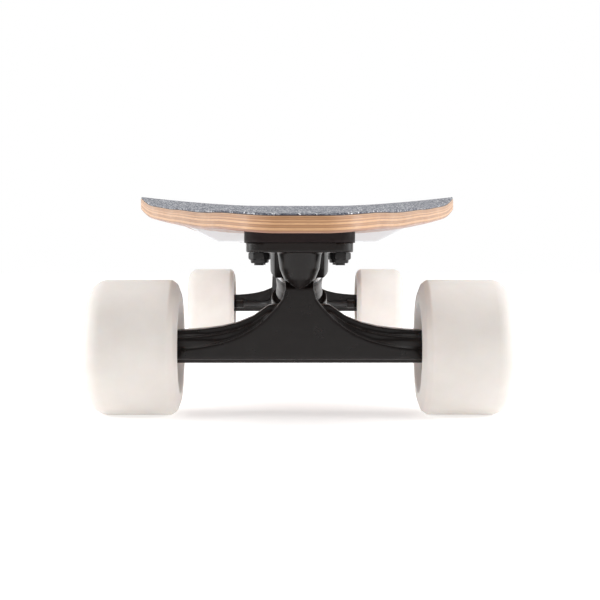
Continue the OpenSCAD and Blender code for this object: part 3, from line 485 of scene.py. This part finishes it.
# ---------------------------------------------------------------- mesh helpers
def new_object(name, verts, faces, key, body=None, smooth=True, replaces=(), angle=35):
    mesh = bpy.data.meshes.new(name)
    mesh.from_pydata([tuple(map(float, v)) for v in verts], [], faces)
    mesh.validate()
    obj = bpy.data.objects.new(name, mesh)
    scene.collection.objects.link(obj)
    finish_object(obj, key, body, smooth, replaces, angle)
    return obj


def finish_object(obj, key, body, smooth=True, replaces=(), angle=35):
    mesh = obj.data
    bm = bmesh.new()
    bm.from_mesh(mesh)
    bmesh.ops.recalc_face_normals(bm, faces=bm.faces)
    limit = math.radians(angle)
    for f in bm.faces:
        f.smooth = smooth
    for e in bm.edges:
        e.smooth = len(e.link_faces) == 2 and e.calc_face_angle(0) < limit
    bm.to_mesh(mesh)
    bm.free()
    dress(obj, key)
    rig.slot(obj, key)
    if replaces:
        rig.replaces(obj, *replaces)
    if body:
        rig.ride(obj, body)


def grid_faces(rows, cols, close_rows=False, close_cols=False, start=0):
    faces = []
    for r in range(rows if close_rows else rows - 1):
        for c in range(cols if close_cols else cols - 1):
            r2, c2 = (r + 1) % rows, (c + 1) % cols
            faces.append(tuple(start + row * cols + col for row, col in ((r, c), (r2, c), (r2, c2), (r, c2))))
    return faces


def revolve(profile, place, steps=96):
    """Vertices and faces of a closed profile [(radius, along)] turned about an axis.
    place(radius, angle, along) gives each point."""
    verts = []
    for i in range(steps):
        a = 2 * math.pi * i / steps
        verts += [place(r, a, z) for r, z in profile]
    return verts, grid_faces(steps, len(profile), True, True)


def rounded(points, radius, steps=4):
    """A closed outline with each corner rounded; a point is (x, y) or (x, y, its own radius)."""
    out = []
    n = len(points)
    for i in range(n):
        p = Vector(points[i][:2])
        a, b = Vector(points[i - 1][:2]) - p, Vector(points[(i + 1) % n][:2]) - p
        r = points[i][2] if len(points[i]) > 2 else radius
        half = a.angle(b) / 2
        cut = min(r / max(math.tan(half), 1e-6), 0.45 * a.length, 0.45 * b.length)
        if cut < 1e-7 or half > math.radians(88):
            out.append(tuple(p))
            continue
        start, end = p + a.normalized() * cut, p + b.normalized() * cut
        for k in range(steps + 1):
            t = k / steps
            q = start * (1 - t) ** 2 + p * 2 * t * (1 - t) + end * t ** 2
            out.append((q.x, q.y))
    return out


def cast_copy(name, node, voxel, smooths, key, body):
    """A CAD node's shape with every edge rounded as on a casting: remeshed finely, then relaxed."""
    obj = bpy.data.objects.new(name, NODES[node].data.copy())
    scene.collection.objects.link(obj)
    bm = bmesh.new()
    bm.from_mesh(obj.data)
    bmesh.ops.remove_doubles(bm, verts=bm.verts, dist=1e-6)
    bm.to_mesh(obj.data)
    bm.free()
    remesh = obj.modifiers.new("voxels", "REMESH")
    remesh.mode = "VOXEL"
    remesh.voxel_size = voxel * (2 if quick else 1)
    relax = obj.modifiers.new("relax", "SMOOTH")
    relax.factor = 0.5
    relax.iterations = smooths
    graph = bpy.context.evaluated_depsgraph_get()
    done = bpy.data.meshes.new_from_object(obj.evaluated_get(graph))
    obj.modifiers.clear()
    obj.data = done
    finish_object(obj, key, body, True, (node,), 180)
    return obj


def moulded_copy(name, node, radius, key, body):
    """A CAD node's shape with its long outer edges rounded as on a moulding, and its thin rims kept."""
    obj = bpy.data.objects.new(name, NODES[node].data.copy())
    scene.collection.objects.link(obj)
    bm = bmesh.new()
    bm.from_mesh(obj.data)
    bmesh.ops.remove_doubles(bm, verts=bm.verts, dist=1e-6)
    bmesh.ops.dissolve_limit(bm, angle_limit=math.radians(0.4), verts=bm.verts, edges=bm.edges)
    middle = sum((v.co for v in bm.verts), Vector()) / len(bm.verts)
    outer = [f for f in bm.faces if f.calc_area() > 1e-4 and f.normal.z < 0.3
             and f.normal.dot(f.calc_center_median() - middle) > 0]
    edges = [e for e in bm.edges if len(e.link_faces) == 2 and all(f in outer for f in e.link_faces)
             and math.radians(12) < e.calc_face_angle(0) < math.radians(100)]
    bmesh.ops.bevel(bm, geom=edges, offset=radius, segments=5, profile=0.5, affect="EDGES", clamp_overlap=True)
    bm.to_mesh(obj.data)
    bm.free()
    finish_object(obj, key, body, True, (node,), 22)
    return obj


# ---------------------------------------------------------------- the deck's surface, as in the CAD source
WHEELBASE = 0.3535
LENGTH = WHEELBASE + 0.099
WIDTH, TIP, FLAT, CUP = 0.117, 0.026, 0.0295, 0.0069
BASE, CAMBER, DROOP = 0.095, 0.0162, 0.0027
ARCH, NOSE = WHEELBASE - 0.0545, WHEELBASE + 0.0465
FLARE, FLARE_AT, FLARE_REACH = 0.0033, WHEELBASE - 0.066, 0.119
BLUNT = 0.0009          # how far the rounding of the blunt ends reaches


def half_width(u):
    full = TIP + (WIDTH - TIP) * max(0.0, 1 - (u / LENGTH) ** 1.54) ** 0.946
    return full * (0.3 + 0.7 * math.sqrt(max(0.0, 1 - (u / LENGTH) ** 40)))


def under(x, y):
    u = abs(y)
    arch = CAMBER * (1 - (u / ARCH) ** 2) ** 1.55 if u < ARCH else (
        0 if u < NOSE else -DROOP * ((u - NOSE) / (LENGTH - NOSE)) ** 2)
    flare = 0.0
    if abs(u - FLARE_AT) < FLARE_REACH:
        out = min(1.0, max(0.0, abs(x) - FLAT) / max(mm, half_width(u) - FLAT))
        flare = FLARE * math.cos(math.pi / 2 * (u - FLARE_AT) / FLARE_REACH) ** 2 * out ** 2
    return BASE + arch + CUP * (max(0, abs(x) - FLAT) / (WIDTH - FLAT)) ** 1.5 + flare


def board_layer(name, low, high, key, node, inset=0.0, r_low=0.0009, r_high=0.0009, rows=150, across=56):
    """A closed layer that follows the deck, with rounded edges. ply and side say where each point is in it."""
    span = high - low
    steps = 5
    section = []  # (share of the half width, inset from the edge, height above low, 1 on the side)
    for i in range(across + 1):
        section.append((-1 + 2 * i / across, r_low, 0.0, 0))
    for k in range(1, steps + 1):
        a = math.pi / 2 * k / steps
        section.append((1, r_low * (1 - math.sin(a)), r_low * (1 - math.cos(a)), 1))
    for k in range(1, 9):
        section.append((1, 0, r_low + (span - r_low - r_high) * k / 9, 1))
    for k in range(steps + 1):
        a = math.pi / 2 * k / steps
        section.append((1, r_high * (1 - math.cos(a)), span - r_high + r_high * math.sin(a), 1))
    for i in range(across + 1):
        section.append((1 - 2 * i / across, r_high, span, 0))
    for s in reversed(section[across + 1: across + 1 + steps + 8 + steps + 1]):
        section.append((-1, *s[1:]))
    reach = LENGTH - inset
    stations = [math.sin(math.pi / 2 * k / rows) * (reach - BLUNT) for k in range(-rows, rows + 1)]
    verts, ply, side = [], [], []

    def ring(y, squeeze):
        for share, edge, height, on_side in section:
            half = half_width(min(abs(y), LENGTH)) - inset - edge - squeeze
            x = share * half
            h = squeeze + height * (span - 2 * squeeze) / span if squeeze else height
            verts.append((x, y, under(x, y) + low + h))
            ply.append(h / span)
            side.append(on_side)

    first = -(reach - BLUNT)
    ends = []
    for k in range(4):
        a = math.pi / 2 * k / 4
        ends.append((BLUNT * math.cos(a), min(BLUNT, span * 0.45) * (1 - math.sin(a))))
    for out, squeeze in ends:
        ring(first - out, squeeze)
    for y in stations:
        ring(y, 0.0)
    for out, squeeze in reversed(ends):
        ring(-first + out, squeeze)
    count, cols = len(stations) + 2 * len(ends), len(section)
    faces = grid_faces(count, cols, False, True)
    # The blunt ends: strips between the lower and the upper part of the first and the last ring
    for start, flip in ((0, False), ((count - 1) * cols, True)):
        loop = [start + i for i in range(cols)]
        face = loop if flip else loop[::-1]
        faces.append(tuple(face))
    obj = new_object(name, verts, faces, key, None, True, (node,), 40)
    for label, values in (("ply", ply), ("side", side)):
        attribute = obj.data.attributes.new(label, "FLOAT", "POINT")
        attribute.data.foreach_set("value", np.array(values, np.float32))
    for face in obj.data.polygons:
        if len(face.vertices) > 20:
            face.use_smooth = False
    end_side = obj.data.attributes["side"].data
    for i in list(range(0, cols * 3)) + list(range((count - 3) * cols, count * cols)):
        end_side[i].value = 1.0
    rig.ride(obj, "board")
    return obj


board_layer("deck_wood", 0.0, 0.008, "wood", "deck")
board_layer("grip_sheet", 0.00803, 0.0089, "grip", "grip_tape", inset=0.0004, r_low=0.0001, r_high=0.0004)

# ---------------------------------------------------------------- castings and mouldings
for end in ("front", "rear"):
    cast_copy(f"{end}_hanger_cast", f"{end}_hanger", 0.00055, 3, "cast_black", f"{end}_truck")
    cast_copy(f"{end}_baseplate_cast", f"{end}_baseplate", 0.0005, 2, "cast_black", "board")
    cast_copy(f"{end}_riser_pad", f"{end}_riser", 0.0005, 2, "riser_black", "board")
moulded_copy("battery_pod_shell", "battery_pod", 0.0011, "pod_grey", "board")
moulded_copy("controller_pod_shell", "controller_pod", 0.0011, "pod_grey", "board")
moulded_copy("cable_channel_moulded", "cable_channel", 0.0012, "channel_plastic", "board")


# ---------------------------------------------------------------- wheels
AXLE_Z = 0.035
WHEEL_IN = 0.0615        # from the middle of the board to a wheel's inner face


def on_axle(end, side):
    """place(r, angle, distance from the middle of the board) for one end of an axle."""
    y0 = -WHEELBASE if end == "front" else WHEELBASE

    def place(r, a, x):
        return (side * x, y0 + r * math.cos(a), AXLE_Z + r * math.sin(a))

    return place


def tyre(end, label, side):
    """One tyre, outline in millimetres from its inner face; the front ones' inner rim is wider than in the CAD."""
    rolling = [(28.5, 0, 0.8), (33.0, 1.7, 2.0), (35, 4.4, 2.4)]
    turns = [math.radians(a) for a in range(0, 91, 6)]
    shoulder = [(25 + 10 * math.cos(a), 37 + 10 * math.sin(a)) for a in turns]
    face = [(35, 20.0)] + shoulder
    if end == "front":
        inside = [(21.6, 47, 0.7), (20.5, 45.9, 0.6), (20.5, 30.6, 1.4), (17.02, 27.6, 1.0), (17.02, 14.6, 1.0),
                  (20.5, 11.6, 1.4), (20.5, 3.4, 1.0), (24.0, 0, 0.8)]
    else:
        inside = [(24, 47, 0.8), (23.05, 46, 0.5), (23.05, 39.3, 0.2), (27.03, 39.3, 0.2), (27.03, 1.1, 0.6),
                  (28.0, 0, 0.5)]
        rolling = [(29.2, 0, 0.5), (33.0, 1.7, 2.0), (35, 4.4, 2.4)]
    points = rolling + face + inside
    outline = [(r * mm, WHEEL_IN + z * mm) for r, z in rounded(points, 0.4, 5)]
    verts, faces = revolve(outline, on_axle(end, side), 144)
    new_object(f"{end}_{label}_tyre_cast", verts, faces, "tyre_white", f"{end}_{label}_wheel", True,
               (f"{end}_{label}_tyre",), 50)


for label, side in (("left", -1), ("right", 1)):
    for end in ("front", "rear"):
        tyre(end, label, side)


# ---------------------------------------------------------------- bushings
def truck_frame(end):
    """Points of a truck's own frame (+Y to the tip), in millimetres, to the row frame in metres."""
    turn = 1 if end == "rear" else -1

    def place(x, y, z):
        return Vector((turn * x * mm, turn * (y * mm + WHEELBASE), z * mm))

    return place


def on_kingpin(end):
    place = truck_frame(end)
    lean = math.radians(30)
    ring_y, ring_z = -22, 57.8

    def turned(r, a, s):
        x, v = r * math.cos(a), r * math.sin(a)
        return place(x, ring_y + v * math.cos(lean) + s * math.sin(lean),
                     ring_z - v * math.sin(lean) + s * math.cos(lean))

    return turned


# Each follows the board at its washer and the hanger at the ring. Its bore is eased towards the ring.
BUSHINGS = {"upper": ([(6.4, 4.05), (11.6, 4.05, 0.8), (12.4, 6.0, 1.0), (11.9, 10.5, 4.0), (12.4, 15.6, 1.0),
                       (11.7, 17.75, 0.8), (4.85, 17.75), (4.85, 11.0, 2.0)], 17.0, 4.3),
            "lower": ([(4.85, -14.95), (8.6, -14.95, 0.8), (9.6, -14.0, 0.6), (11.9, -5.4, 1.2), (11.2, -4.05, 0.6),
                       (6.4, -4.05), (4.85, -10.5, 2.0)], -14.4, -4.3)}
for end in ("front", "rear"):
    for label, (outline, held, moved) in BUSHINGS.items():
        place = on_kingpin(end)
        verts, faces = revolve(rounded(outline, 0.3, 5), place, 72)
        piece = new_object(f"{end}_{label}_bushing", verts, faces, "bushing", None, True,
                           (f"{end}_bushings",), 50)
        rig.blend(piece, "board", f"{end}_truck", start=place(0, 0, held), end=place(0, 0, moved))

# The button's spring shortens with the button's travel
spring = bpy.data.objects.new("button_spring_coil", NODES["button_spring"].data.copy())
scene.collection.objects.link(spring)
finish_object(spring, "steel", "board", True, ("button_spring",))
low, high = (Vector(p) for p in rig.box("button_spring"))
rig.squash(spring, "button_press", axis=(0, 0.9988, 0.0483), anchor=((low.x + high.x) / 2, low.y, low.z),
          keep=1 - 0.00115 / (high.y - low.y))


# ---------------------------------------------------------------- nuts and bolts
def hex_profile(flats):
    """A hexagon turned from bar: its radius at each angle, cut where a turned outline is smaller."""
    def radius(a, limit):
        r = flats / 2 / math.cos((a % (math.pi / 3)) - math.pi / 6)
        return min(r, limit)
    return radius


def hex_piece(flats, outline, bore, place, steps=96):
    radius = hex_profile(flats)
    verts = []
    for i in range(steps):
        a = 2 * math.pi * i / steps
        verts += [place(radius(a, r), a, z) for r, z in outline]
        verts += [place(bore, a, outline[-1][1]), place(bore, a, outline[0][1])]
    return verts, grid_faces(steps, len(outline) + 2, True, True)


def merge(parts):
    verts, faces = [], []
    for v, f in parts:
        faces += [tuple(i + len(verts) for i in q) for q in f]
        verts += v
    return verts, faces


def upright(x, y):
    return lambda r, a, z: (x + r * mm * math.cos(a), y + r * mm * math.sin(a), z * mm)


BOLTS = [(sx * 0.02065, e * (WHEELBASE + oy)) for e in (-1, 1) for sx in (-1, 1) for oy in (0.016, -0.038)]
outline = [(3.4, 78.62), (3.9, 78.75), (4.15, 79.2), (4.2, 80.2), (4.5, 80.35), (5.05, 80.7), (5.4, 81.2), (5.4, 83.5),
           (5.05, 83.9), (4.6, 84.05)]
parts = [hex_piece(9.2, outline, 2.42, upright(x, y)) for x, y in BOLTS]
new_object("lock_nuts_turned", *merge(parts), "bolt_black", "board", True, ("lock_nuts",), 30)


def axle_nut(flats, start, height, flange, bore=4.06):
    out = []
    if flange:
        out += [(flange - 0.3, start), (flange, start + 0.3), (flange, start + 0.9), (flange - 0.5, start + 1.2),
                (flats / 2 + 0.6, start + 1.35)]
    else:
        out += [(flats / 2 + 0.25, start), (flats / 2 + 0.9, start + 0.5)]
    return out + [(flats, start + 1.6), (flats, start + height - 1.1), (flats / 2 + 0.6, start + height - 0.35),
                  (flats / 2 - 0.3, start + height)]


for end, start, flange in (("front", 95.2, 0), ("rear", 100.3, 8)):
    parts = [hex_piece(12.7, axle_nut(12.7, start, 6, flange), 4.06,
                       lambda r, a, z, s=side, e=end: on_axle(e, s)(r * mm, a, z * mm)) for side in (-1, 1)]
    new_object(f"{end}_axle_nuts_turned", *merge(parts), "steel", f"{end}_truck", True, (f"{end}_axle_nuts",), 30)


# ---------------------------------------------------------------- cables
def smooth_route(points, per=8):
    """Points on one smooth curve through the given ones."""
    p = [Vector(q) for q in points]
    p = [p[0] * 2 - p[1]] + p + [p[-1] * 2 - p[-2]]
    out = []
    for i in range(1, len(p) - 2):
        for k in range(per):
            t = k / per
            a, b, c, d = p[i - 1], p[i], p[i + 1], p[i + 2]
            out.append(0.5 * ((2 * b) + (c - a) * t + (2 * a - 5 * b + 4 * c - d) * t * t
                              + (3 * b - a - 3 * c + d) * t ** 3))
    out.append(p[-2])
    return out


def tube(route, r, sides=16):
    verts = []
    across = None
    for i, q in enumerate(route):
        d = (route[min(i + 1, len(route) - 1)] - route[max(i - 1, 0)]).normalized()
        across = (d.cross(Vector((0, 0, 1))) if across is None else across - d * across.dot(d)).normalized()
        up = across.cross(d)
        verts += [q + r * (across * math.cos(2 * math.pi * k / sides) + up * math.sin(2 * math.pi * k / sides))
                  for k in range(sides)]
    faces = grid_faces(len(route), sides, False, True)
    faces.append(tuple(range(sides)))
    faces.append(tuple(reversed(range((len(route) - 1) * sides, len(route) * sides))))
    return verts, faces


TAIL = under(0, 0.170) - 0.0064
CABLE = [(10, 164, TAIL * 1000), (10, 178, TAIL * 1000), (11, 200, TAIL * 1000 - 1), (13, 225, TAIL * 1000 - 3),
         (16, 250, TAIL * 1000 - 6), (18, 270, TAIL * 1000 - 10), (19.5, 285.5, 82), (20, 299.5, 72), (20.5, 311.5, 60),
         (21, 319.5, 49), (22, 325.5, 41), (26, 331.5, 36), (33, 335.9, 35), (41, 337.5, 35), (50, 337.5, 35),
         (56, 337.5, 35)]
parts = [tube(smooth_route([(s * x * mm, y * mm, z * mm) for x, y, z in CABLE]), 0.0025) for s in (-1, 1)]
cables = new_object("motor_cables_run", *merge(parts), "cable", None, True, ("motor_cables",), 50)
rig.blend(cables, "board", "rear_truck", start=(0, 0.268, 0.088), end=(0, 0.331, 0.040))

# ---------------------------------------------------------------- floor
floor = new_object("floor", [(-6, -6, 0), (6, -6, 0), (6, 6, 0), (-6, 6, 0)], [(0, 1, 2, 3)], "floor", None, False)
del floor["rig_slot"]
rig.stage(floor)

with open("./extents.json", "w") as f:
    f.write(json.dumps({"cad": cad_box, "visual": [list(map(float, p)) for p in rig.bounds()]}))
